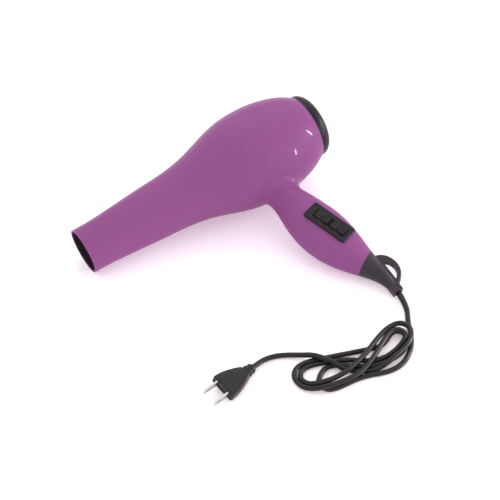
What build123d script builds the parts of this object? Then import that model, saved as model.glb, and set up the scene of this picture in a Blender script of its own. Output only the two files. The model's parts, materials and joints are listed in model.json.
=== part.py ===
from build123d import *
import os
from math import asin, cos, degrees, pi, radians, sin, tan

# Hair dryer lying on its side, with its lead in a loose hank.
# Everything is drawn upright first: X runs along the barrel from the mouth of the nozzle (x = 0) to the
# rear, the handle points to -Y, and z = 0 is the plane where the two shell halves meet.
# At the end the whole dryer is rolled and pitched until bulb, nozzle and boot rest on the floor.
# All dimensions are in millimetres.

os.makedirs("parts", exist_ok=True)

# ---- driving dimensions -------------------------------------------------------------------------

WALL = 2.2  # shell wall
END_RUN = 5.0  # how far cutting shapes run past the ends
SHELL_LENGTH = 229.0  # mouth to rear rim
NOZZLE_R = 20.3  # outside radius at the mouth
SEAT_LENGTH = 12.0  # straight stretch that a concentrator pushes onto
BULB_R = 43.3  # largest outside radius
BULB_X = 175.0
RIM_R = 29.8  # outside radius at the rear rim
BARREL = [
    (SEAT_LENGTH, NOZZLE_R), (34, 21.6), (66, 24.2), (96, 26.5), (116, 30.2), (137, 36.8), (158, 42.1),
    (BULB_X, BULB_R), (190, 42.6), (205, 39.9), (220, 34.8), (SHELL_LENGTH, RIM_R),
]

# handle sections, from inside the bulb to the boot: y, centre x, half depth, half thickness
HANDLE = [
    (-26, 172.2, 14.4, 13.4), (-50, 173.0, 14.3, 13.2), (-69, 177.0, 19.2, 14.0),
    (-94, 180.7, 23.1, 15.0), (-117, 184.6, 20.6, 14.4), (-136, 190.0, 14.6, 12.2),
    (-148, 194.8, 10.2, 9.8), (-158, 198.2, 7.1, 7.4), (-167, 199.8, 5.2, 5.0), (-178, 200.4, 4.3, 4.0),
]
HANDLE_END = (193.8, -140.5)  # middle of the joint between shell and boot
ROOT_FILLET = 10.0  # where the handle grows out of the bulb
HANDLE_END_LEAN = 27.0  # the joint plane's lean to the rear, degrees

DUCT_R = 29.0  # outside radius of the fan duct
DUCT_WALL = 1.4
MOTOR_R = 13.4
SHAFT_R = 1.5
RUNNING_GAP = 0.04  # shaft in its bushes
IMPELLER_R = 26.8
IMPELLER_BLADES = 9
STATOR_VANES = 7

PLATE_CENTRE = (185.8, -97.3, 14.0)
PLATE_LENGTH = 43.0
PLATE_WIDTH = 18.6
PLATE_LEAN = 17.4  # lean of the plate's long side from -Y to the rear, degrees
PLATE_TILT = 9.0  # tilt of its face to the rear, degrees
PLATE_PROUD = 1.4
ROCKER_LENGTH = 15.4
ROCKER_WIDTH = 8.4
ROCKER_PITCH = 16.8
ROW_SHIFT = 1.3  # the row of rockers sits nearer the boot end of the plate
ROCKER_GAP = 0.3
NOTCH = (0.8, 4.4, 1.6)  # notch across the middle of a rocker: width, length, depth below its top

# screws: x, y and how far below the joint plane the outside of the lower shell lies there
SCREW_PLACES = [(172.6, -62.0, 12.4), (171.0, -112.0, 12.8), (150.0, 33.4, 21.3)]
SCREW_R = 1.3
SCREW_HEAD_R = 2.7

CORD_D = 4.4
BLADE_SPACING = 12.7

# shell details
PLATE_SEAT_DEPTH = 3.2  # how far the plate's body reaches into the shell
POST_R = 3.2
PILOT_R = 1.1
HEAD_SINK = 3.0  # screw heads sit this deep in the lower shell
FLANGE_X = (173.6, 175.6)  # flange of the fan duct that seals against the shell
BULKHEAD_R = 40.6

# air path
LINER = [(0.6, 19.0), (5.2, 19.0), (8.6, 17.9), (12, 17.9), (34, 18.7), (66, 20.9), (96, 23.2), (126, 27.0)]
LINER_WALL = 0.8
LIP = [(5.2, 19.2), (8.4, 18.1)]  # bore of the thin lip at the mouth: x, radius
GRILLE_X = 24.0
GRILLE_R = 17.5
BOARD_X = (40.0, 114.0)
BOARD_HALF = 13.5
BOARD_THICK = 0.8
COIL_R = 14.3
COIL_WIRE_R = 0.55

# fan and motor
DUCT_X = (150.0, 218.0)
HUB_X = (158.0, 186.0)
HUB_R = 15.0
CAN_X = (160.0, 188.0)
CAN_WALL = 0.8
SHAFT_X = (156.0, 213.0)
IMPELLER_X = (197.0, 212.0)
IMPELLER_HUB_R = 13.6

# intake
GUARD_X = (220.0, 222.0)
COVER_SKIRT = (223.5, SHELL_LENGTH)
COVER_R = RIM_R - 0.3
COVER_SKIRT_R = RIM_R - WALL - 0.35
COVER_GAP = 0.3  # between the shell's rim and the cover's
SKIRT_WALL = 1.6
DOME = [(0, COVER_R), (3.2, 29.3), (7.0, 27.6), (10.2, 23.6), (12.4, 16.4), (13.2, 0)]  # beyond the rim, radius
DOME_INSIDE = [(1.8, 0), (2.2, 17.0), (4.6, 22.6)]  # below the dome's top, radius
RING_SLOTS = [(5.6, 8.0), (10.0, 12.4), (14.4, 16.8), (18.8, 21.2)]
SLOT_START = 2.4
BRIDGE_HALF = 1.1  # half the width of the bridges across the slots
FILTER_X = (224.4, 225.6, 226.2)  # ring, then mesh

# rocker pivots
PIVOT_DEPTH = 2.6
PIVOT_R = 1.0
EAR_GAP = 0.05

# cord clamp and boot
CLAMP_AT = (187.6, -133.0)
CLAMP_LEVEL = -2.4  # top of the inner lead under the clamp
CLAMP_TURN = 21.3  # the bar lies square to the lead, degrees
COLLAR_X, COLLAR_Y = 200.8, (-170.5, -178.12)  # box-shaped end that the sleeve leaves
COLLAR_WIDTH = 9.4
COLLAR_THICK = 8.0
LOOP_THICK = 5.6
LOOP_OUTSIDE = [
    (203.6, -139.6), (211.6, -143.6), (215.9, -152.0), (215.2, -162.0), (209.6, -169.6), (202.6, -174.6),
]
LOOP_HOLE = [(206.2, -148.4), (212.0, -157.0), (206.0, -167.0)]  # ends of the straight side, arc between
INNER_LEAD = [(199.8, -173.0, -1.0), (195.2, -152.5, -4.6), (184.6, -125.3, -4.6)]

# lying pose: where bulb and boot touch the floor
BULB_TOUCH_X = 165.0
END_X, END_REACH, END_HALF = 200.0, 178.0, 4.5

# lead and plug, in the frame of the finished part
CORD_R = CORD_D / 2
SLEEVE_START = (85.4, -107.3, 4.65)
SLEEVE_END = (79.9, -126.8, 3.3)
SLEEVE_R = (2.9, 2.4)
LEAD_ROUTE = [SLEEVE_END, (76.2, -131.8, 2.6), (72.2, -137.8, CORD_R)]
TAIL_ROUTE = [
    (-7.6, -133.0, CORD_R), (-15, -123.8, CORD_R), (-25.5, -113.2, CORD_R), (-36.5, -106.3, CORD_R),
    (-47.5, -104.6, 2.8), (-57.4, -106.9, 3.8),
]
HANK_OUTLINE = [
    (71, -136.5), (57, -133.8), (42, -137.4), (26, -142.6), (4, -136.7), (-14, -130.6), (-30, -127.6),
    (-38.6, -131.5), (-39.8, -142), (-33, -149), (-23.5, -156), (-9.6, -160.2), (12, -161), (32, -168.6),
    (45, -168.2), (56.5, -160), (66, -147.5), (71.5, -140.5),
]
HANK_HEIGHT = 2 * CORD_D

PLUG_FRONT = (-93.9, -114.5, 6.9)
PLUG_TURN = 191.3  # the way the blades point, degrees from +X
PLUG_RISE = 4.5  # the lead twists the plug onto one edge, nose up, degrees
PLUG_ROLL = 12.4
PLUG_HALF = 4.1  # half its thickness
PLUG_SIDE = [(0, 10.7), (-1.8, 11.5), (-7.0, 11.1), (-13.5, 9.5), (-19.5, 7.3), (-25.0, 5.4)]
RELIEF = [(-24.0, 5.0), (-27.6, 4.7), (-27.6, 3.8), (-28.8, 3.8), (-28.8, 4.4), (-31.4, 4.1), (-31.4, 3.3),
          (-32.6, 3.3), (-32.6, 3.7), (-36.9, 2.7)]
BLADE_LENGTH, BLADE_WIDTH, BLADE_THICK = 13.7, 6.3, 1.5

# wires inside
LIVE_WIRE = [(185.6, -123.6, -5.4), (187.8, -116.5, -6.8), (187.2, -108.2, -5.0)]
NEUTRAL_WIRE = [(182.7, -124.8, -5.6), (177.0, -116.0, -8.2), (179.5, -90.0, -9.0), (180.5, -62.0, -7.0),
                (171.0, -46.0, -5.0), (160.0, -33.0, -5.0), (148.0, -30.6, -6.0), (116.6, -18.0, -6.0)]
HEATER_WIRE = [(181.6, -91.0, -4.4), (180.0, -62.0, 0.0), (171.5, -46.0, 3.0), (160.0, -33.0, 4.0),
               (148.0, -30.4, 4.0), (116.6, -18.0, 2.0)]


def turned(profile):
    """A solid of revolution about the barrel's axis, from (x, radius) corners."""
    face = make_face(Polyline([(x, r, 0) for x, r in profile], close=True))
    return revolve(face, Axis.X)


def ring(x0, x1, inner, outer):
    """A plain ring about the barrel's axis."""
    return turned([(x0, inner), (x1, inner), (x1, outer), (x0, outer)])


def disc(x0, x1, radius):
    return ring(x0, x1, 0, radius)


def block(x0, x1, y0, y1, z0, z1):
    """A box given by its faces."""
    centre = ((x0 + x1) / 2, (y0 + y1) / 2, (z0 + z1) / 2)
    return Pos(*centre) * Box(x1 - x0, y1 - y0, z1 - z0)


def post(x, y, z0, z1, radius):
    """A round post along Z."""
    return Pos(x, y, (z0 + z1) / 2) * Cylinder(radius, z1 - z0)


def round_bar(points, radii, radius):
    """A round bar along straight runs joined by arcs."""
    path = FilletPolyline(*points, radius=radii)
    start = Plane(path @ 0, z_dir=path % 0)
    return sweep(start * Circle(radius), path)


# ---- shell ----------------------------------------------------------------------------------------


def barrel(inset):
    """The solid inside the barrel's outline, taken in by inset and run on past its two ends."""
    points = [(x, r - inset, 0) for x, r in BARREL]
    curve = Spline(*points, tangents=[(1, 0.03, 0), (1, -0.62, 0)])
    front = -END_RUN
    rear = SHELL_LENGTH + END_RUN
    first_r, last_r = points[0][1], points[-1][1]
    sides = Polyline(points[-1], (rear, last_r, 0), (rear, 0, 0), (front, 0, 0), (front, first_r, 0), points[0])
    return revolve(make_face([curve, sides]), Axis.X)


def grip(inset):
    """The leaf-shaped handle, lofted through its oval sections."""
    sections = []
    for y, x, depth, thick in HANDLE:
        plane = Plane((x, y, 0), x_dir=(1, 0, 0), z_dir=(0, -1, 0))
        sections.append(plane * Ellipse(depth - inset, thick - inset))
    return loft(sections)


def end_half_space(shift):
    """Everything beyond the joint plane of handle and boot, moved by shift along the plane's normal."""
    lean = radians(HANDLE_END_LEAN)
    normal = Vector(sin(lean), -cos(lean), 0)
    origin = Vector(HANDLE_END[0], HANDLE_END[1], 0) + normal * shift
    return Plane(origin, z_dir=normal) * Pos(0, 0, 60) * Box(120, 120, 120)


def casing():
    """The whole shell before it is split: barrel and handle, hollow and open at its three ends."""
    length_slab = block(0, SHELL_LENGTH, -60, 60, -60, 60)
    outer = (barrel(0) & length_slab) + grip(0)
    root_zone = block(150, 200, -60, -25, -30, 30)
    root_edges = [edge for edge in outer.edges() if root_zone.is_inside(edge @ 0.5)]
    outer = outer.fillet(ROOT_FILLET, root_edges) - end_half_space(0)
    lip_bore = turned([(-END_RUN, 0), (-END_RUN, LIP[0][1]), *LIP, (LIP[1][0], 0)])
    return outer - barrel(WALL) - grip(WALL) - lip_bore


def switch_plane():
    """The plane of the switch plate's seat: X along the row towards the boot, Z out of the handle."""
    lean, tilt = radians(PLATE_LEAN), radians(PLATE_TILT)
    along = Vector(sin(lean), -cos(lean), 0)
    across = Vector(cos(lean), sin(lean), 0)
    normal = across * sin(tilt) + Vector(0, 0, cos(tilt))
    return Plane(PLATE_CENTRE, x_dir=along, z_dir=normal)


def shell_halves():
    whole = casing()
    opening = Box(PLATE_LENGTH - 2.4, PLATE_WIDTH - 2.4, 4 * PLATE_SEAT_DEPTH)
    recess = Pos(0, 0, 5) * Box(PLATE_LENGTH + 0.3, PLATE_WIDTH + 0.3, 10)
    recess = fillet(recess.edges().filter_by(Axis.Z), 2.1)
    whole -= switch_plane() * (opening + recess)
    upper = whole & block(-1, 250, -200, 60, 0, 60)
    lower = whole & block(-1, 250, -200, 60, -60, 0)
    outline = barrel(0) + grip(0)
    for x, y, depth in SCREW_PLACES:
        low_post = (post(x, y, -60, 0, POST_R) & outline) - post(x, y, -60, 0, SCREW_R + 0.2)
        high_post = (post(x, y, 0, 60, POST_R) & outline) - post(x, y, 0, 9.0, PILOT_R)
        lower = lower - (post(x, y, -60, 0, POST_R) & outline) + low_post
        upper += high_post
        lower -= post(x, y, -60, HEAD_SINK - depth, SCREW_HEAD_R + 0.3)
    lower += clamp_posts() & outline
    for screw in clamp_screws().solids():
        lower -= screw
    return upper, lower


def shell_screws():
    screws = []
    for x, y, depth in SCREW_PLACES:
        top = HEAD_SINK - depth
        head = post(x, y, top - 1.8, top, SCREW_HEAD_R)
        cross = Pos(x, y, top - 1.8) * (Box(3.2, 0.7, 1.6) + Box(0.7, 3.2, 1.6))
        shank = post(x, y, top, 0, SCREW_R) + post(x, y, 0, 8.0, PILOT_R)
        screws.append((head - cross) + shank)
    return Compound(children=screws)


# ---- air path: liner, grille, heater ---------------------------------------------------------------

def heat_shield():
    inner = [(x, r - LINER_WALL) for x, r in reversed(LINER)]
    return turned(LINER + inner)


def outlet_grille():
    bars = (GRILLE_X + 0.6, GRILLE_X + 2.4)
    grille = ring(GRILLE_X, GRILLE_X + 3.0, GRILLE_R - 1.2, GRILLE_R)
    grille += ring(*bars, 10.6, 11.6) + ring(*bars, 4.6, 5.6)
    for i in range(6):
        grille += Rot(60 * i, 0, 0) * block(*bars, 0, GRILLE_R - 0.9, -0.5, 0.5)
    return grille - disc(*bars, 2.4)


def heater_boards():
    """Two mica boards that slot together in a cross."""
    middle = (BOARD_X[0] + BOARD_X[1]) / 2
    slot = BOARD_THICK / 2
    flat = block(*BOARD_X, -BOARD_HALF, BOARD_HALF, -slot, slot)
    upright = block(*BOARD_X, -slot, slot, -BOARD_HALF, BOARD_HALF)
    flat -= block(middle, BOARD_X[1], -slot, slot, -1, 1)
    upright -= block(BOARD_X[0], middle, -1, 1, -slot, slot)
    return flat, upright


def heater_end_plate():
    plate = disc(BOARD_X[1], BOARD_X[1] + 1.0, 24.4) - disc(BOARD_X[1], BOARD_X[1] + 1.0, 4.0)
    for i in range(8):
        plate -= Rot(45 * i + 22.5, 0, 0) * Pos(0, 14.5, 0) * Rot(0, 90, 0) * Pos(0, 0, BOARD_X[1] + 0.5) * (
            Cylinder(4.4, 3))
    return plate


def heating_coil(start, turns):
    """A helical resistance wire wound over the edges of the boards."""
    pitch = 3.4
    path = Pos(start, 0, 0) * Rot(0, 90, 0) * Helix(pitch=pitch, height=pitch * turns, radius=COIL_R)
    return sweep(Plane(path @ 0, z_dir=path % 0) * Circle(COIL_WIRE_R), path)


def thermostat():
    """A bimetal cut-out standing on the flat board, behind the slot of the upright one."""
    base = block(103.0, 112.0, 3.0, 10.0, BOARD_THICK / 2, 2.0)
    leaf = block(103.8, 111.2, 4.6, 8.4, 3.2, 3.7) + block(103.8, 106.0, 4.6, 8.4, 2.0, 3.2)
    contact = post(110.0, 6.5, 2.0, 3.2, 1.1)
    return base + leaf + contact


def thermal_fuse():
    half = BOARD_THICK / 2
    body = Pos(96.0, -7.0, half + 1.4) * Rot(0, 90, 0) * Cylinder(1.4, 9.0)
    lead = Pos(96.0, -7.0, half + 1.4) * Rot(0, 90, 0) * Cylinder(0.4, 15.0)
    return body + lead


# ---- fan and motor ---------------------------------------------------------------------------------

def fan_housing():
    """Duct, stator vanes, motor cup and sealing flange, one moulding."""
    duct = ring(*DUCT_X, DUCT_R - DUCT_WALL, DUCT_R)
    flange = ring(*FLANGE_X, DUCT_R - 0.2, BULKHEAD_R)
    cup = ring(*HUB_X, MOTOR_R + 0.05, HUB_R)
    housing = duct + flange + cup
    for i in range(STATOR_VANES):
        vane = block(162, 184, HUB_R - 0.4, DUCT_R - 0.6, -0.6, 0.6)
        housing += Rot(360 / STATOR_VANES * i, 0, 0) * vane
    return housing


def motor_can():
    can = ring(CAN_X[0], CAN_X[1], MOTOR_R - CAN_WALL, MOTOR_R)
    front = ring(CAN_X[0], CAN_X[0] + CAN_WALL, 4.0, MOTOR_R - CAN_WALL + 0.1)
    return can + front


def motor_magnets():
    shell_ring = ring(164, 182, 10.8, MOTOR_R - CAN_WALL)
    gap = block(163, 183, -3.5, 3.5, -20, 20)
    return shell_ring - gap


def motor_end_cap():
    """The rear cover of the motor: its face, the bush's seat and the pockets for the brushes."""
    face = ring(CAN_X[1], CAN_X[1] + 2.5, 4.0, MOTOR_R - 0.2)
    spigot = ring(CAN_X[1] - 2.0, CAN_X[1] + 0.1, MOTOR_R - 2.4, MOTOR_R - CAN_WALL)
    return face + spigot


def bush(x0, x1):
    return ring(x0, x1, SHAFT_R + RUNNING_GAP, 4.0)


def motor_brushes():
    brush = block(184.0, 187.0, 4.35, 10.9, -1.2, 1.2)
    return Compound(children=[brush, Rot(180, 0, 0) * brush])


def armature():
    """Laminated core with three wound poles."""
    core = ring(166, 180, SHAFT_R, 10.2)
    for i in range(3):
        core -= Rot(120 * i + 60, 0, 0) * block(165, 181, 4.5, 9.0, -3.2, 3.2)
        core -= Rot(120 * i + 60, 0, 0) * block(165, 181, 8.0, 12.0, -1.1, 1.1)
    return core


def armature_windings():
    """Copper bundles lying in the core's three slots."""
    bundle = block(164.6, 181.4, 4.6, 8.2, -3.0, 3.0)
    return Compound(children=[Rot(120 * i + 60, 0, 0) * bundle for i in range(3)])


def commutator():
    drum = ring(183.0, 187.4, SHAFT_R, 4.2)
    for i in range(6):
        drum -= Rot(60 * i, 0, 0) * block(182, 188, 3.2, 5, -0.2, 0.2)
    return drum


def motor_shaft():
    return disc(*SHAFT_X, SHAFT_R)


def impeller():
    x0, x1 = IMPELLER_X
    nose = [(x0, SHAFT_R), (x0, IMPELLER_HUB_R), (x1 - 4, IMPELLER_HUB_R), (x1 - 1, 11.0), (x1 + 1.5, 6.0),
            (x1 + 2.0, 0), (x1 + 1.0, 0), (x1 + 1.0, SHAFT_R)]
    hub = turned(nose)
    blade_length = IMPELLER_R - IMPELLER_HUB_R + 1.2
    blade = Pos((x0 + x1) / 2 - 1.5, IMPELLER_HUB_R - 1.2 + blade_length / 2, 0) * (
        Rot(0, -38, 0) * Box(1.3, blade_length, 13.0))
    tip_limit = disc(x0 - 2, x1 + 2, IMPELLER_R)
    blade = blade & tip_limit
    for i in range(IMPELLER_BLADES):
        hub += Rot(360 / IMPELLER_BLADES * i, 0, 0) * blade
    return hub


# ---- rear: guard, filter and cover -----------------------------------------------------------------

def rear_guard():
    """Finger guard behind the fan, standing on the end of the duct."""
    guard = ring(DUCT_X[1], GUARD_X[1], DUCT_R - DUCT_WALL, DUCT_R)
    for radius in (9.0, 14.5, 20.0, 25.0):
        guard += ring(GUARD_X[0] + 0.3, GUARD_X[1] - 0.3, radius, radius + 1.2)
    for i in range(8):
        guard += Rot(45 * i, 0, 0) * block(GUARD_X[0] + 0.3, GUARD_X[1] - 0.3, 9.2, DUCT_R - 0.5, -0.7, 0.7)
    return guard


def rear_cover():
    """Black domed intake cover: skirt, rim, domed face with ring slots."""
    rim = SHELL_LENGTH + COVER_GAP
    top = rim + DOME[-1][0]
    skirt_inside = COVER_SKIRT_R - SKIRT_WALL
    dome = Spline(*[(rim + x, r, 0) for x, r in DOME], tangents=[(1, -0.12, 0), (0, -1, 0)])
    inside = Polyline(
        (top, 0, 0), *[(top - depth, r, 0) for depth, r in DOME_INSIDE], (rim + SLOT_START, skirt_inside, 0),
        (COVER_SKIRT[0], skirt_inside, 0), (COVER_SKIRT[0], COVER_SKIRT_R, 0), (rim, COVER_SKIRT_R, 0),
        (rim, COVER_R, 0))
    cover = revolve(make_face([dome, inside]), Axis.X)
    for inner_r, outer_r in RING_SLOTS:
        slot = ring(rim + SLOT_START, top + 1, inner_r, outer_r)
        for i in range(6):
            slot -= Rot(60 * i, 0, 0) * block(rim, top + 2, 0, COVER_R, -BRIDGE_HALF, BRIDGE_HALF)
        cover -= slot
    return cover


def filter_mesh():
    return disc(FILTER_X[1], FILTER_X[2], COVER_SKIRT_R - 1.7)


def filter_ring():
    return ring(FILTER_X[0], FILTER_X[1], COVER_SKIRT_R - 3.6, COVER_SKIRT_R - 1.65)


# ---- switches ---------------------------------------------------------------------------------------

def row_x(index):
    """Where a rocker's centre lies along the plate."""
    return ROW_SHIFT + (index - 0.5) * ROCKER_PITCH


def switch_plate():
    """Black plate: rounded face, a body in the shell's opening, and a frame with the rockers' pivots."""
    seat = switch_plane()
    face_box = Pos(0, 0, PLATE_PROUD / 2) * Box(PLATE_LENGTH, PLATE_WIDTH, PLATE_PROUD)
    face_box = fillet(face_box.edges().filter_by(Axis.Z), 2.0)
    face_box = chamfer(face_box.faces().sort_by(Axis.Z)[-1].edges(), 0.5)
    body = Pos(0, 0, -2.0) * Box(PLATE_LENGTH - 3.0, PLATE_WIDTH - 3.0, 4.0)
    frame_length = 2 * ROCKER_PITCH + 2.0
    frame = Pos(ROW_SHIFT, 0, -2.5) * Box(frame_length, ROCKER_WIDTH + 3.4, 5.0)
    plate = face_box + body + frame
    for i in range(2):
        opening = Box(ROCKER_LENGTH + 2 * ROCKER_GAP, ROCKER_WIDTH + 2 * ROCKER_GAP, 30)
        plate -= Pos(row_x(i), 0, 0) * opening
        pivot = Rot(90, 0, 0) * Cylinder(PIVOT_R + EAR_GAP, ROCKER_WIDTH + 3.0)
        plate -= Pos(row_x(i), 0, -PIVOT_DEPTH) * pivot
    return seat * plate


def rocker(index):
    """A rocker: two flat facets that meet in a shallow valley, on a pivot pin."""
    half = ROCKER_LENGTH / 2
    outline = Polyline(
        (-half, -1.2), (1.0 - half, 3.0), (1.6 - half, 3.2), (0, 1.7), (half - 1.6, 3.2), (half - 1.0, 3.0),
        (half, -1.2), (2.5, -3.8), (-2.5, -3.8), close=True)
    face = Plane.XZ * make_face(outline)
    body = Pos(0, ROCKER_WIDTH / 2, 0) * extrude(face, ROCKER_WIDTH)
    notch = Box(NOTCH[0], NOTCH[1], 2 * NOTCH[2])
    body -= Pos(0, (NOTCH[1] - ROCKER_WIDTH) / 2, 1.9) * notch
    pin = Pos(0, 0, -PIVOT_DEPTH) * Rot(90, 0, 0) * Cylinder(PIVOT_R, ROCKER_WIDTH + 2.6)
    return switch_plane() * Pos(row_x(index), 0, 0) * (body + pin)


def switch_box(index):
    """The switch under a rocker, with its three tabs."""
    box = Pos(row_x(index), 0, -9.6) * Box(ROCKER_LENGTH, ROCKER_WIDTH, 6.4)
    for shift in (-5, 0, 5):
        box += Pos(row_x(index) + shift, 0, -14.4) * Box(0.8, 4.0, 3.4)
    return switch_plane() * box


def rectifier_board():
    """Small circuit board with four diodes that feeds the motor."""
    x, y, z = 168.6, -85.0, -4.0
    board = Pos(x, y, z) * Box(9, 18, 1.2)
    for i in range(4):
        board += Pos(x - 2.2 + 4.4 * (i % 2), y - 4 + 8 * (i // 2), z + 1.8) * Rot(90, 0, 0) * Cylinder(1.3, 5)
    return board


def wire(points, radius=0.9):
    radii = [4.0] * (len(points) - 2)
    return round_bar(points, radii, radius)


# ---- cord entry -------------------------------------------------------------------------------------

def clamp_frame():
    return Pos(CLAMP_AT[0], CLAMP_AT[1], 0) * Rot(0, 0, CLAMP_TURN)


def cable_clamp():
    bar = Pos(0, 0, CLAMP_LEVEL + 1.0) * Box(15.0, 5.0, 2.0)
    for side in (-5.2, 5.2):
        bar -= Pos(side, 0, CLAMP_LEVEL + 1.0) * Cylinder(1.2, 4)
    return clamp_frame() * bar


def clamp_screws():
    screws = []
    for side in (-5.2, 5.2):
        head = Pos(side, 0, CLAMP_LEVEL + 2.7) * Cylinder(2.0, 1.4)
        shank = Pos(side, 0, CLAMP_LEVEL - 1.2) * Cylinder(0.95, 6.4)
        slot = Pos(side, 0, CLAMP_LEVEL + 3.4) * Box(3.0, 0.6, 0.9)
        screws.append(clamp_frame() * (head + shank - slot))
    return Compound(children=screws)


def clamp_posts():
    """Posts on the lower shell that take the clamp's screws."""
    posts = [clamp_frame() * Pos(side, 0, CLAMP_LEVEL - 6.0) * Cylinder(2.1, 12.0) for side in (-5.2, 5.2)]
    return posts[0] + posts[1]


def inner_lead():
    """The lead's inner end, from the boot to the switches, under the clamp."""
    return round_bar(INNER_LEAD, [24.0], CORD_D / 2)


def hanging_loop():
    outside = Spline(*[(x, y, 0) for x, y in LOOP_OUTSIDE])
    back = Polyline((*LOOP_OUTSIDE[-1], 0), (198.0, -172.0, 0), (198.0, -144.0, 0), (*LOOP_OUTSIDE[0], 0))
    band = extrude(make_face([outside, back]), LOOP_THICK / 2, both=True)
    top, middle, bottom = [(x, y, 0) for x, y in LOOP_HOLE]
    hole_face = make_face([ThreePointArc(top, middle, bottom), Line(bottom, top)])
    hole = extrude(hole_face, LOOP_THICK, both=True)
    band = fillet(band.edges().filter_by(Plane.XY), 1.6)
    return band - hole


def end_boot():
    """Soft boot that closes the handle, with a hanging loop on its rear side and a bore for the lead."""
    body = grip(0) & end_half_space(0.02)
    collar = Pos(COLLAR_X, COLLAR_Y[0], 0) * Rot(90, 0, 0) * extrude(
        RectangleRounded(COLLAR_WIDTH, COLLAR_THICK, 1.2), COLLAR_Y[0] - COLLAR_Y[1])
    body += collar
    tongue = grip(WALL + 0.05) & end_half_space(-6.0)
    boot = body + tongue + (hanging_loop() & end_half_space(0.02))
    return boot - inner_lead()


# ---- lying pose -------------------------------------------------------------------------------------

rest_pitch = degrees(asin((BULB_R - NOZZLE_R) / BULB_TOUCH_X))
axis_height = NOZZLE_R * cos(radians(rest_pitch)) + END_X * sin(radians(rest_pitch))
rest_roll = degrees(asin((axis_height - END_HALF) / (END_REACH * cos(radians(rest_pitch)))))
LYING = Rot(0, -rest_pitch, 0) * Rot(rest_roll, 0, 0)

# ---- lead and plug, in the frame of the finished part ------------------------------------------------

def bend_radii(route):
    """The largest arcs that the route's runs allow, one for each corner."""
    radii = []
    for before, corner, after in zip(route, route[1:], route[2:]):
        run_in, run_out = Vector(*corner) - Vector(*before), Vector(*after) - Vector(*corner)
        half_turn = radians(run_in.get_angle(run_out)) / 2
        radii.append(0.45 * min(run_in.length, run_out.length) / tan(half_turn))
    return radii


def cord_tube(name, route):
    """A stretch of lead as a round bar, with its bend radii printed."""
    radii = bend_radii(route)
    tube = round_bar(route, radii, CORD_R)
    length = FilletPolyline(*route, radius=radii).length
    section = pi * CORD_R**2
    print(name, "radii", [round(r, 1) for r in radii], "length", round(length, 1))
    print(name, "volume", round(tube.volume, 1), "section x length", round(section * length, 1))
    return tube


def cord_sleeve():
    """Tapered sleeve that the lead leaves the boot through."""
    along = Vector(*SLEEVE_END) - Vector(*SLEEVE_START)
    start = Plane(Vector(*SLEEVE_START) - along.normalized() * 3.0, z_dir=along)
    length = along.length + 3.0
    return start * Pos(0, 0, length / 2) * Cone(SLEEVE_R[0], SLEEVE_R[1], length)


def cord_hank():
    outline = Spline(*[(x, y, 0) for x, y in HANK_OUTLINE], periodic=True)
    hank = extrude(make_face(outline), HANK_HEIGHT)
    return fillet(hank.edges().filter_by(Plane.XY), CORD_R / 2)


def plug_frame():
    return Pos(*PLUG_FRONT) * Rot(0, 0, PLUG_TURN) * Rot(0, -PLUG_RISE, 0) * Rot(-PLUG_ROLL, 0, 0)


def plug_body():
    """Flat moulded plug: crowned body, waist and ribbed strain relief."""
    upper = [(x, y) for x, y in PLUG_SIDE]
    lower = [(x, -y) for x, y in reversed(PLUG_SIDE)]
    body = extrude(make_face(Polyline(*upper, *lower, close=True)), PLUG_HALF, both=True)
    body = fillet(body.edges().filter_by(Axis.Z), 1.6)
    body = fillet(body.edges().filter_by(Plane.XY), 1.2)
    relief = revolve(make_face(Polyline(*[(x, r) for x, r in RELIEF], (RELIEF[-1][0], 0), (RELIEF[0][0], 0),
                                        close=True)), Axis.X)
    relief = relief & Box(200, 200, 2 * PLUG_HALF)
    return plug_frame() * (body + relief)


def plug_blades():
    blades = []
    for side in (-1, 1):
        blade = Pos(BLADE_LENGTH / 2 - 0.5, side * BLADE_SPACING / 2, 0) * (
            Box(BLADE_LENGTH + 1.0, BLADE_THICK, BLADE_WIDTH))
        blade = chamfer(blade.faces().sort_by(Axis.X)[-1].edges().filter_by(Axis.Z), 0.5)
        blade -= Pos(BLADE_LENGTH - 4.0, side * BLADE_SPACING / 2, 0) * Rot(90, 0, 0) * Cylinder(1.6, 5)
        blades.append(plug_frame() * blade)
    return blades


# ---- assembly ------------------------------------------------------------------------------------------


def dryer_pieces():
    """Every rigid piece of the dryer in the upright frame, by node name."""
    upper, lower = shell_halves()
    flat_board, upright_board = heater_boards()
    return {
        "upper_shell": upper,
        "lower_shell": lower,
        "shell_screws": shell_screws(),
        "heat_shield": heat_shield(),
        "outlet_grille": outlet_grille(),
        "heater_board_flat": flat_board,
        "heater_board_upright": upright_board,
        "heater_end_plate": heater_end_plate(),
        "heating_coil_low": heating_coil(47.0, 8),
        "heating_coil_high": heating_coil(79.0, 8),
        "thermostat": thermostat(),
        "thermal_fuse": thermal_fuse(),
        "fan_housing": fan_housing(),
        "motor_can": motor_can(),
        "motor_magnets": motor_magnets(),
        "motor_end_cap": motor_end_cap(),
        "front_bush": bush(158.4, 162.0),
        "rear_bush": bush(CAN_X[1], 191.8),
        "motor_brushes": motor_brushes(),
        "motor_shaft": motor_shaft(),
        "armature_core": armature(),
        "armature_windings": armature_windings(),
        "commutator": commutator(),
        "impeller": impeller(),
        "rear_guard": rear_guard(),
        "rear_cover": rear_cover(),
        "filter_ring": filter_ring(),
        "filter_mesh": filter_mesh(),
        "switch_plate": switch_plate(),
        "heat_rocker": rocker(0),
        "speed_rocker": rocker(1),
        "heat_switch": switch_box(0),
        "speed_switch": switch_box(1),
        "rectifier_board": rectifier_board(),
        "live_wire": wire(LIVE_WIRE),
        "neutral_wire": wire(NEUTRAL_WIRE),
        "heater_wire": wire(HEATER_WIRE),
        "cable_clamp": cable_clamp(),
        "clamp_screws": clamp_screws(),
        "inner_lead": inner_lead(),
    }


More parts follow.
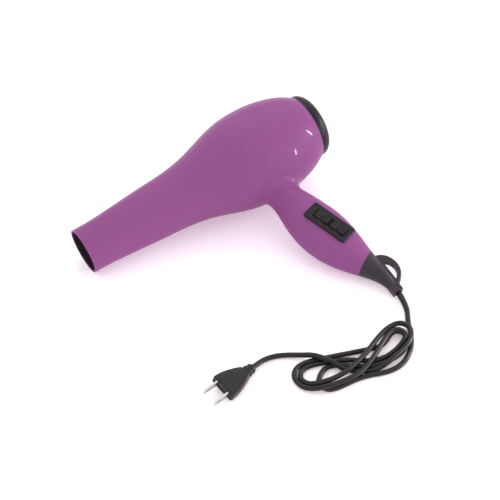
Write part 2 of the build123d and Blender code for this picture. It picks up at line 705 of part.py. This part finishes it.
def lay_down(pieces):
    """Roll and pitch the dryer onto the floor, with the origin under the middle of its box."""
    laid = {name: LYING * piece for name, piece in pieces.items()}
    boxes = [piece.bounding_box() for piece in laid.values()]
    low = [min(getattr(box.min, axis) for box in boxes) for axis in "XYZ"]
    high = [max(getattr(box.max, axis) for box in boxes) for axis in "XYZ"]
    move = Pos(-(low[0] + high[0]) / 2, -(low[1] + high[1]) / 2, -low[2])
    return {name: move * piece for name, piece in laid.items()}, move


def main():
    pieces = dryer_pieces()
    pieces["end_boot"] = end_boot()
    laid, move = lay_down(pieces)
    sleeve = cord_sleeve()
    laid["end_boot"] -= sleeve
    laid["cord_sleeve"] = sleeve
    laid["cord_lead"] = cord_tube("cord_lead", LEAD_ROUTE)
    laid["cord_tail"] = cord_tube("cord_tail", TAIL_ROUTE)
    laid["cord_hank"] = cord_hank()
    blades = plug_blades()
    laid["plug_blades"] = Compound(children=blades)
    laid["plug_body"] = plug_body() - blades[0] - blades[1]
    for name, piece in laid.items():
        export_step(piece, f"parts/{name}.step")
    print("pitch", round(rest_pitch, 3), "roll", round(rest_roll, 3), "move", move.position)


main()
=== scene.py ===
import json
from math import cos, pi, radians, sin

import bpy
from mathutils import Matrix, Vector

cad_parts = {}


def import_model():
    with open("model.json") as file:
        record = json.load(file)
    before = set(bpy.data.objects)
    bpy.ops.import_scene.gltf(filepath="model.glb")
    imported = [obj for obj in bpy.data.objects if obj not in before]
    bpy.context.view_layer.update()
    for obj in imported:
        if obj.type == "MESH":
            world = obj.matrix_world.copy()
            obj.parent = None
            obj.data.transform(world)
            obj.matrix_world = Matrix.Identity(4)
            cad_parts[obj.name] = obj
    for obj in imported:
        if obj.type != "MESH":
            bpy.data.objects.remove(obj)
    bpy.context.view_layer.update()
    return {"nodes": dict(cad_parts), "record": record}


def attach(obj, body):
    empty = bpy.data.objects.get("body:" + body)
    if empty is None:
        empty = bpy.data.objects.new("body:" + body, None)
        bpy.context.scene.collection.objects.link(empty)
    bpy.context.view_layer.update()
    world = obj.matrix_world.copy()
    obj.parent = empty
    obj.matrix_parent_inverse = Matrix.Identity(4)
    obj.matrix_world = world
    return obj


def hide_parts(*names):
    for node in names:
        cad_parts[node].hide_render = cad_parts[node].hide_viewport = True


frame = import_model()
nodes = frame["nodes"]
MM = 0.001


# ---- camera ---------------------------------------------------------------------------------------

CAMERA_AZIMUTH = radians(-33.05)
CAMERA_ELEVATION = radians(46.0)
CAMERA_DISTANCE = 1.151
CAMERA_TARGET = Vector((0.0104, 0.00575, 0.0002))
CAMERA_VIEW = radians(21.4)
CAMERA_CLIP = (0.05, 50)


def add_camera():
    """The scene's camera, level, at its azimuth, elevation and distance from the target."""
    az, el = CAMERA_AZIMUTH, CAMERA_ELEVATION
    right = Vector((cos(az), sin(az), 0))
    back = Vector((sin(az) * cos(el), -cos(az) * cos(el), sin(el)))
    up = back.cross(right)
    data = bpy.data.cameras.new("camera")
    data.angle = CAMERA_VIEW
    data.clip_start, data.clip_end = CAMERA_CLIP
    camera = bpy.data.objects.new("camera", data)
    bpy.context.scene.collection.objects.link(camera)
    turn = Matrix((right, up, back)).transposed().to_4x4()
    camera.matrix_world = Matrix.Translation(CAMERA_TARGET + back * CAMERA_DISTANCE) @ turn
    bpy.context.scene.camera = camera


add_camera()


# ---- cord -----------------------------------------------------------------------------------------

CORD_R = 2.2
CURVE_STEPS = 8
ROUND_STEPS = 6
LOW, HIGH = CORD_R, 6.7  # levels of a strand on the floor, and of one that lies on another

# millimetres, from inside the sleeve to the plug; each group is one run or turn of the loose hank
LEAD = [(85.4, -107.3, 4.65), (84.2, -113.5, 4.4), (82.4, -120.2, 3.9), (79.9, -126.8, 3.3),
        (76.2, -132.2, 2.6), (72.2, -138.4, LOW)]
OUTER_RIGHT_TURN = [(68.6, -145.8, LOW), (63.6, -153.8, LOW), (56, -161.8, LOW), (45, -168.4, LOW),
                    (33.6, -169.8, LOW), (23.4, -167.6, LOW), (14.4, -163.9, LOW)]
SHORT_LEFT_TURN = [(3.6, -161.3, LOW), (-7.8, -160.8, LOW), (-16.6, -160.0, LOW), (-22.2, -157.9, LOW),
                   (-25.3, -152.8, LOW), (-24.4, -147.0, LOW), (-19.9, -142.6, LOW), (-14.8, -139.8, LOW),
                   (-10.2, -138.6, LOW)]
UNDER_TO_MIDDLE_TURN = [(-4.4, -140.1, LOW), (2, -143.9, LOW), (8.2, -149.1, LOW), (14.8, -154.3, LOW),
                        (23.4, -158.8, LOW), (34.6, -160.4, LOW), (45.4, -160.0, LOW), (54.2, -157.0, LOW),
                        (58.6, -153.2, LOW), (61.7, -149.6, LOW), (63.4, -145.2, LOW), (62.2, -140.6, LOW),
                        (58.2, -137.9, LOW), (53, -138.6, LOW)]
UPPER_RUN = [(46.6, -142.4, LOW), (38.4, -144.8, LOW), (29.2, -142.0, LOW), (17.9, -138.2, LOW),
             (5, -133.8, LOW), (-7, -129.6, LOW), (-16.8, -126.4, LOW)]
OUTER_LEFT_TURN = [(-26, -125.0, LOW), (-33.4, -127.0, LOW), (-38.2, -132.8, LOW), (-39, -140.6, LOW),
                   (-36.8, -147.8, 3.4), (-31.2, -153.8, 5.6)]
LOWER_DIAGONAL = [(-23.4, -157.4, 7.0), (-13.6, -159.4, HIGH), (-3, -160.6, HIGH), (7, -160.2, HIGH),
                  (16, -157.4, HIGH), (25, -153.4, HIGH), (35, -147.9, HIGH), (44.8, -142.4, HIGH),
                  (51.6, -139.6, HIGH), (56.5, -139.3, HIGH)]
INNER_RIGHT_TURN = [(60.1, -141.6, HIGH), (61.5, -145.7, HIGH), (60.2, -149.8, 6.5), (56.6, -152.3, 5.7),
                    (51.2, -153.9, 4.2), (45, -155.2, 2.8), (36, -156.0, LOW), (27.6, -154.6, LOW),
                    (20.6, -150.9, LOW)]
MIDDLE_RUN = [(14.4, -146.0, LOW), (8, -141.3, LOW), (0.2, -137.4, LOW), (-8.6, -133.8, LOW),
              (-16.6, -130.9, LOW)]
INNER_LEFT_TURN = [(-24.2, -129.6, LOW), (-30.4, -131.2, LOW), (-34.5, -136.2, LOW), (-34.4, -143.0, 3.2),
                   (-30.4, -149.0, 5.6)]
UPPER_DIAGONAL = [(-23.4, -152.2, 7.0), (-15, -153.6, HIGH), (-5.2, -153.6, HIGH), (5, -152.4, 7.1),
                  (15.8, -148.9, HIGH), (26.8, -144.8, HIGH), (37, -140.2, HIGH), (45.8, -136.8, HIGH),
                  (53.4, -134.9, HIGH), (59.6, -134.6, HIGH), (64.6, -136.0, HIGH)]
TOP_RIGHT_TURN = [(67.9, -139.8, HIGH), (68.5, -144.7, HIGH), (66.2, -149.3, HIGH), (62.3, -153.8, HIGH),
                  (56.8, -157.2, HIGH), (48.2, -160.2, HIGH), (38.8, -162.0, HIGH), (29.4, -163.4, 5.0),
                  (21, -162.2, 2.5)]
TAIL = [(13, -158.2, LOW), (5.4, -153.3, LOW), (-1.2, -147.6, 3.4), (-4.6, -141.4, 6.6), (-7.4, -135.8, 6.9),
        (-10.6, -130.4, 6.9), (-14.8, -124.9, 6.8), (-19.6, -119.4, 4.2), (-27, -112.8, 2.5),
        (-36.5, -107.0, LOW), (-47.5, -104.9, 2.8), (-57.4, -106.9, 3.8), (-62.0, -107.9, 4.2)]
ROUTE = (LEAD + OUTER_RIGHT_TURN + SHORT_LEFT_TURN + UNDER_TO_MIDDLE_TURN + UPPER_RUN + OUTER_LEFT_TURN
         + LOWER_DIAGONAL + INNER_RIGHT_TURN + MIDDLE_RUN + INNER_LEFT_TURN + UPPER_DIAGONAL
         + TOP_RIGHT_TURN + TAIL)


def link(name, data):
    """A new object in the scene that shows some data."""
    obj = bpy.data.objects.new(name, data)
    bpy.context.scene.collection.objects.link(obj)
    return obj


def nurbs(name, points, radius):
    """A round cord along one open NURBS spline, from points in millimetres."""
    curve = bpy.data.curves.new(name, "CURVE")
    curve.dimensions = "3D"
    curve.resolution_u = CURVE_STEPS
    spline = curve.splines.new("NURBS")
    spline.points.add(len(points) - 1)
    for point, place in zip(spline.points, points):
        point.co = (*(v * MM for v in place), 1)
    spline.order_u = 3
    spline.use_endpoint_u = True
    curve.bevel_depth = radius * MM
    curve.bevel_resolution = ROUND_STEPS
    return link(name, curve)


def centreline(points):
    """The points in metres that the cord's spline passes through."""
    line = nurbs("line", points, 0)
    mesh = bpy.data.meshes.new_from_object(line)
    path = [v.co.copy() for v in mesh.vertices]
    bpy.data.objects.remove(line)
    bpy.data.meshes.remove(mesh)
    return path


cord = nurbs("cord", ROUTE, CORD_R)
cord_path = centreline(ROUTE)


# ---- mesh helpers -----------------------------------------------------------------------------------


def loft(name, rings):
    """A smooth closed form through rings of equally many points, with both ends filled."""
    count = len(rings[0])
    points = [p for ring in rings for p in ring]
    faces = []
    for r in range(len(rings) - 1):
        for i in range(count):
            j = (i + 1) % count
            faces.append((r * count + i, r * count + j, (r + 1) * count + j, (r + 1) * count + i))
    faces.append(tuple(range(count - 1, -1, -1)))
    last = (len(rings) - 1) * count
    faces.append(tuple(range(last, last + count)))
    mesh = bpy.data.meshes.new(name)
    mesh.from_pydata([tuple(p) for p in points], [], faces)
    mesh.shade_smooth()
    mesh.validate()
    obj = link(name, mesh)
    level = obj.modifiers.new("smooth", "SUBSURF")
    level.levels = level.render_levels = 1
    return obj


def angles(count):
    """Evenly spaced angles of one full turn."""
    return [2 * pi * i / count for i in range(count)]


def rounded(half_width, half_height, power):
    """A flat ring of points on a rounded rectangle, squarer as the power grows."""
    ring = []
    for a in angles(PLUG_SEGMENTS):
        c, s = cos(a), sin(a)
        ring.append((half_width * abs(c) ** (2 / power) * (1 if c >= 0 else -1),
                     half_height * abs(s) ** (2 / power) * (1 if s >= 0 else -1)))
    return ring


# ---- plug -------------------------------------------------------------------------------------------

PLUG_SEGMENTS = 32
PLUG_FRONT = Vector((-0.0939, -0.1145, 0.0069))
PLUG_TURN, PLUG_RISE, PLUG_ROLL = radians(191.3), radians(4.5), radians(12.4)
PLUG_FRAME = (Matrix.Translation(PLUG_FRONT) @ Matrix.Rotation(PLUG_TURN, 4, "Z")
              @ Matrix.Rotation(-PLUG_RISE, 4, "Y") @ Matrix.Rotation(-PLUG_ROLL, 4, "X"))

# millimetres, along the plug from the blades' face back to the lead: x, half width, half height, squareness
PLUG_SECTIONS = [
    (-1.0, 9.2, 2.6, 5), (-0.25, 10.4, 3.4, 6), (0.0, 10.9, 3.7, 8), (-0.25, 11.3, 3.95, 9),
    (-1.0, 11.55, 4.1, 9), (-3.6, 11.5, 4.1, 9), (-8.0, 11.1, 4.1, 8), (-12.5, 10.1, 4.1, 7),
    (-17.0, 8.7, 4.1, 6), (-21.0, 7.2, 4.05, 5), (-24.0, 6.1, 3.95, 4), (-25.2, 5.5, 3.85, 3),
    (-25.8, 4.6, 3.4, 2.5), (-26.7, 4.5, 3.4, 2.5), (-27.2, 5.2, 3.85, 2.5), (-28.9, 4.9, 3.8, 2.5),
    (-29.4, 4.1, 3.3, 2.3), (-30.3, 4.0, 3.3, 2.3), (-30.8, 4.6, 3.75, 2.3), (-32.6, 4.2, 3.65, 2.2),
    (-33.4, 3.6, 3.4, 2), (-34.2, 3.1, 3.0, 2), (-34.5, 2.3, 2.3, 2),
]


def plug_shell():
    """The plug's moulded body, with a shallow face round the blades and a ribbed relief behind."""
    rings = []
    for x, half_width, half_height, power in PLUG_SECTIONS:
        ring = rounded(half_width, half_height, power)
        rings.append([PLUG_FRAME @ Vector((x * MM, y * MM, z * MM)) for y, z in ring])
    return loft("plug_shell", rings)


plug = plug_shell()


# ---- strain relief ----------------------------------------------------------------------------------

SLEEVE_LENGTH = 20.6
SLEEVE_ROOT_R, SLEEVE_TAPER = 2.9, 0.45
SLEEVE_SEGMENTS = 24
FIRST_GROOVE = 2.4
RIB_PITCH, RIB_WIDTH, RIB_DEPTH, RIB_EDGE = 2.9, 1.9, 0.42, 0.25
TIP_EDGE = 0.5


def sleeve_profile():
    """A tapered sleeve with rounded ribs, as distances along the cord and radii in millimetres."""
    profile = [(0.0, SLEEVE_ROOT_R)]
    start = FIRST_GROOVE
    while start + RIB_PITCH < SLEEVE_LENGTH:
        radius = SLEEVE_ROOT_R - SLEEVE_TAPER * start / SLEEVE_LENGTH
        rib_start, end = start + RIB_PITCH - RIB_WIDTH, start + RIB_PITCH
        profile += [(start, radius - RIB_DEPTH), (rib_start - RIB_EDGE, radius - RIB_DEPTH),
                    (rib_start, radius), (end - RIB_EDGE, radius)]
        start = end
    return profile + [(SLEEVE_LENGTH - TIP_EDGE, SLEEVE_ROOT_R - SLEEVE_TAPER), (SLEEVE_LENGTH, CORD_R)]


def along(path, distance):
    """The point at a distance along a path, and the path's direction there."""
    for a, b in zip(path, path[1:]):
        step = (b - a).length
        if distance <= step:
            return a + (b - a) * (distance / step), (b - a).normalized()
        distance -= step
    return path[-1], (path[-1] - path[-2]).normalized()


def strain_relief():
    """The ribbed sleeve round the start of the cord."""
    rings = []
    for distance, radius in sleeve_profile():
        centre, direction = along(cord_path, distance * MM)
        side = direction.cross(Vector((0, 0, 1))).normalized()
        up = side.cross(direction)
        rings.append([centre + (side * cos(a) + up * sin(a)) * radius * MM for a in angles(SLEEVE_SEGMENTS)])
    return loft("strain_relief", rings)


sleeve = strain_relief()


# ---- materials --------------------------------------------------------------------------------------


RELIEF_DEPTH = 0.00005
ROUGH_SPREAD = 0.05
NOISE_LOW, NOISE_HIGH = 0.3, 0.7  # most of a noise's values lie between these
PATCH_DETAIL, GRAIN_DETAIL = 3.0, 2.0


def material(name, colour, rough, metallic=0.0, tint=0.06, patch=40.0, grain=900.0, bump=0.12, specular=0.5,
             ior=1.5, coat=0.0, coat_rough=0.1, coat_ior=1.5, stretch=(1, 1, 1)):
    """A finish whose colour and roughness vary in patches, with a fine grain in its relief."""
    mat = bpy.data.materials.new(name)
    mat.use_nodes = True
    tree = mat.node_tree
    shader = tree.nodes["Principled BSDF"]
    shader.inputs["Metallic"].default_value = metallic
    shader.inputs["Specular IOR Level"].default_value = specular
    shader.inputs["IOR"].default_value = ior
    shader.inputs["Coat Weight"].default_value = coat
    shader.inputs["Coat Roughness"].default_value = coat_rough
    shader.inputs["Coat IOR"].default_value = coat_ior
    where = tree.nodes.new("ShaderNodeTexCoord")
    scale = tree.nodes.new("ShaderNodeMapping")
    scale.inputs["Scale"].default_value = stretch
    tree.links.new(where.outputs["Object"], scale.inputs["Vector"])

    def noise(size, detail):
        node = tree.nodes.new("ShaderNodeTexNoise")
        node.inputs["Scale"].default_value = size
        node.inputs["Detail"].default_value = detail
        tree.links.new(scale.outputs["Vector"], node.inputs["Vector"])
        return node

    patches, fine = noise(patch, PATCH_DETAIL), noise(grain, GRAIN_DETAIL)
    blend = tree.nodes.new("ShaderNodeMix")
    blend.data_type = "RGBA"
    blend.inputs["A"].default_value = (*(c * (1 - tint) for c in colour), 1)
    blend.inputs["B"].default_value = (*(min(1, c * (1 + tint)) for c in colour), 1)
    tree.links.new(patches.outputs["Fac"], blend.inputs["Factor"])
    tree.links.new(blend.outputs["Result"], shader.inputs["Base Color"])
    spread = tree.nodes.new("ShaderNodeMapRange")
    spread.inputs["From Min"].default_value = NOISE_LOW
    spread.inputs["From Max"].default_value = NOISE_HIGH
    spread.inputs["To Min"].default_value = rough - ROUGH_SPREAD
    spread.inputs["To Max"].default_value = rough + ROUGH_SPREAD
    tree.links.new(patches.outputs["Fac"], spread.inputs["Value"])
    tree.links.new(spread.outputs["Result"], shader.inputs["Roughness"])
    relief = tree.nodes.new("ShaderNodeBump")
    relief.inputs["Strength"].default_value = bump
    relief.inputs["Distance"].default_value = RELIEF_DEPTH
    tree.links.new(fine.outputs["Fac"], relief.inputs["Height"])
    tree.links.new(relief.outputs["Normal"], shader.inputs["Normal"])
    return mat


FINISHES = {
    "dark_liner": dict(colour=(0.018, 0.011, 0.017), rough=0.6, tint=0.15, patch=60, grain=1400, bump=0.2,
                       specular=0.2),
    "shell_purple": dict(colour=(0.240, 0.070, 0.214), rough=0.40, tint=0.05, patch=18, grain=1400, bump=0.05,
                         coat=0.17, coat_rough=0.06, coat_ior=1.33, specular=0.03),
    "boot_rubber": dict(colour=(0.024, 0.017, 0.025), rough=0.42, tint=0.12, patch=60, grain=1600, bump=0.2,
                        specular=0.42, ior=1.42),
    "black_plastic": dict(colour=(0.013, 0.009, 0.012), rough=0.42, tint=0.10, patch=50, grain=2200,
                          bump=0.22, specular=0.17),
    "rocker_plastic": dict(colour=(0.016, 0.013, 0.016), rough=0.6, tint=0.10, patch=50, grain=1800,
                           bump=0.12, specular=0.15),
    "cord_rubber": dict(colour=(0.010, 0.008, 0.010), rough=0.36, tint=0.2, patch=160, grain=700, bump=0.3,
                        specular=0.5, ior=1.36),
    "plated_steel": dict(colour=(0.62, 0.62, 0.63), rough=0.28, metallic=1.0, tint=0.08, patch=120,
                         grain=2600),
    "nickel_blades": dict(colour=(0.50, 0.49, 0.50), rough=0.34, metallic=1.0, tint=0.08, patch=160,
                          grain=3000, stretch=(1, 1, 6)),
    "mica": dict(colour=(0.50, 0.45, 0.33), rough=0.5, tint=0.28, patch=160, grain=900, bump=0.3),
    "resistance_wire": dict(colour=(0.40, 0.37, 0.35), rough=0.38, metallic=1.0, tint=0.2, patch=240),
    "fan_plastic": dict(colour=(0.075, 0.075, 0.082), rough=0.5, tint=0.1, patch=60, grain=1500, bump=0.15),
    "ferrite": dict(colour=(0.07, 0.07, 0.08), rough=0.6, tint=0.2, patch=200, grain=1200, bump=0.3),
    "core_steel": dict(colour=(0.42, 0.42, 0.44), rough=0.36, metallic=1.0, tint=0.2, patch=200,
                       stretch=(8, 1, 1)),
    "copper": dict(colour=(0.62, 0.27, 0.13), rough=0.3, metallic=1.0, tint=0.2, patch=300, bump=0.3),
    "bush_bronze": dict(colour=(0.52, 0.38, 0.20), rough=0.42, metallic=1.0, tint=0.15, patch=250, bump=0.3),
    "carbon": dict(colour=(0.035, 0.035, 0.04), rough=0.6, tint=0.3, patch=300, bump=0.4),
    "filter_mesh": dict(colour=(0.16, 0.16, 0.17), rough=0.7, tint=0.5, patch=1200, grain=1600, bump=0.8),
    "board_green": dict(colour=(0.04, 0.16, 0.07), rough=0.4, tint=0.2, patch=200, coat=0.3),
    "wire_red": dict(colour=(0.42, 0.03, 0.03), rough=0.42, tint=0.12, patch=120),
    "wire_white": dict(colour=(0.68, 0.67, 0.62), rough=0.5, tint=0.1, patch=120),
    "wire_blue": dict(colour=(0.04, 0.10, 0.42), rough=0.42, tint=0.12, patch=120),
}
finish = {name: material(name, **facts) for name, facts in FINISHES.items()}


def wear(obj, slot):
    """Gives an object the finish of a material slot."""
    obj.data.materials.clear()
    obj.data.materials.append(finish[slot])


for part in frame["record"]["subparts"]:
    wear(nodes[part["node"]], part["material_slot"])


# ---- who rides where ---------------------------------------------------------------------------------


def settle(obj, body, slot, *replaced):
    """Gives a piece its finish, its body and the CAD nodes that it stands for."""
    wear(obj, slot)
    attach(obj, body)
    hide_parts(*replaced)


settle(cord, "dryer", "cord_rubber", "cord_lead", "cord_tail", "cord_hank")
settle(plug, "dryer", "cord_rubber", "plug_body")
settle(sleeve, "dryer", "cord_rubber", "cord_sleeve")


# ---- floor and light ---------------------------------------------------------------------------------

FLOOR_HALF = 3.0
FLOOR_DROP = 0.0001
FLOOR_COLOUR, FLOOR_ROUGH = (0.93, 0.925, 0.93, 1), 0.9
# painted light: the floor's glow lifts the shade under the object, and its pink tint paints the purple
# shell's bounce light onto the floor
PAINTED_BOUNCE_COLOUR, PAINTED_BOUNCE_STRENGTH = (1.0, 0.76, 0.91, 1), 0.275
DOME_COLOUR, DOME_STRENGTH = (1, 0.995, 1, 1), 1.15

# name: place, point it faces, width and height in metres, power in watts, lights surfaces, shows in gloss
LIGHTS = {
    "key": ((0.55, 0.85, 1.15), (0, 0, 0), (1.5, 1.1), 5.2, True, True),
    "glint_side": ((1.44, -0.59, 0.46), (0.093, 0.038, 0.073), (0.05, 0.42), 19.0, False, True),
    "glint_front": ((0.99, -1.17, 0.25), (0.074, 0.029, 0.068), (0.04, 0.34), 8.0, False, True),
    "fill": ((1.21, -0.88, 0.36), (0.08, 0.03, 0.07), (0.9, 0.6), 7.8, True, False),
}


def floor():
    """A pale floor that glows a little, so that it stays light under the object: painted light that lifts its
    shade and tints it pink like bounce light from the purple shell.
    """
    far = FLOOR_HALF
    mesh = bpy.data.meshes.new("floor")
    mesh.from_pydata([(-far, -far, 0), (far, -far, 0), (far, far, 0), (-far, far, 0)], [], [(0, 1, 2, 3)])
    obj = link("floor", mesh)
    obj.location.z = -FLOOR_DROP
    mat = bpy.data.materials.new("floor")
    mat.use_nodes = True
    shader = mat.node_tree.nodes["Principled BSDF"]
    shader.inputs["Base Color"].default_value = FLOOR_COLOUR
    shader.inputs["Roughness"].default_value = FLOOR_ROUGH
    shader.inputs["Specular IOR Level"].default_value = 0.0
    # painted bounce light: a pink glow that lifts the floor's shade
    shader.inputs["Emission Color"].default_value = PAINTED_BOUNCE_COLOUR
    shader.inputs["Emission Strength"].default_value = PAINTED_BOUNCE_STRENGTH
    mesh.materials.append(mat)


def area_light(name, place, target, size, power, diffuse, glossy):
    """A rectangular light that faces a point."""
    data = bpy.data.lights.new(name, "AREA")
    data.shape = "RECTANGLE"
    data.size, data.size_y = size
    data.energy = power
    lamp = link(name, data)
    lamp.visible_diffuse, lamp.visible_glossy = diffuse, glossy
    turn = (Vector(target) - Vector(place)).to_track_quat("-Z", "Y").to_matrix().to_4x4()
    lamp.matrix_world = Matrix.Translation(Vector(place)) @ turn


def world():
    """Even light from all round, and plain colours."""
    scene = bpy.context.scene
    scene.world = bpy.data.worlds.new("studio")
    scene.world.use_nodes = True
    background = scene.world.node_tree.nodes["Background"]
    background.inputs["Color"].default_value = DOME_COLOUR
    background.inputs["Strength"].default_value = DOME_STRENGTH
    scene.view_settings.view_transform = "Standard"
    scene.view_settings.look = "None"


floor()
for name, facts in LIGHTS.items():
    area_light(name, *facts)
world()


# ---- update ------------------------------------------------------------------------------------------

bpy.context.view_layer.update()
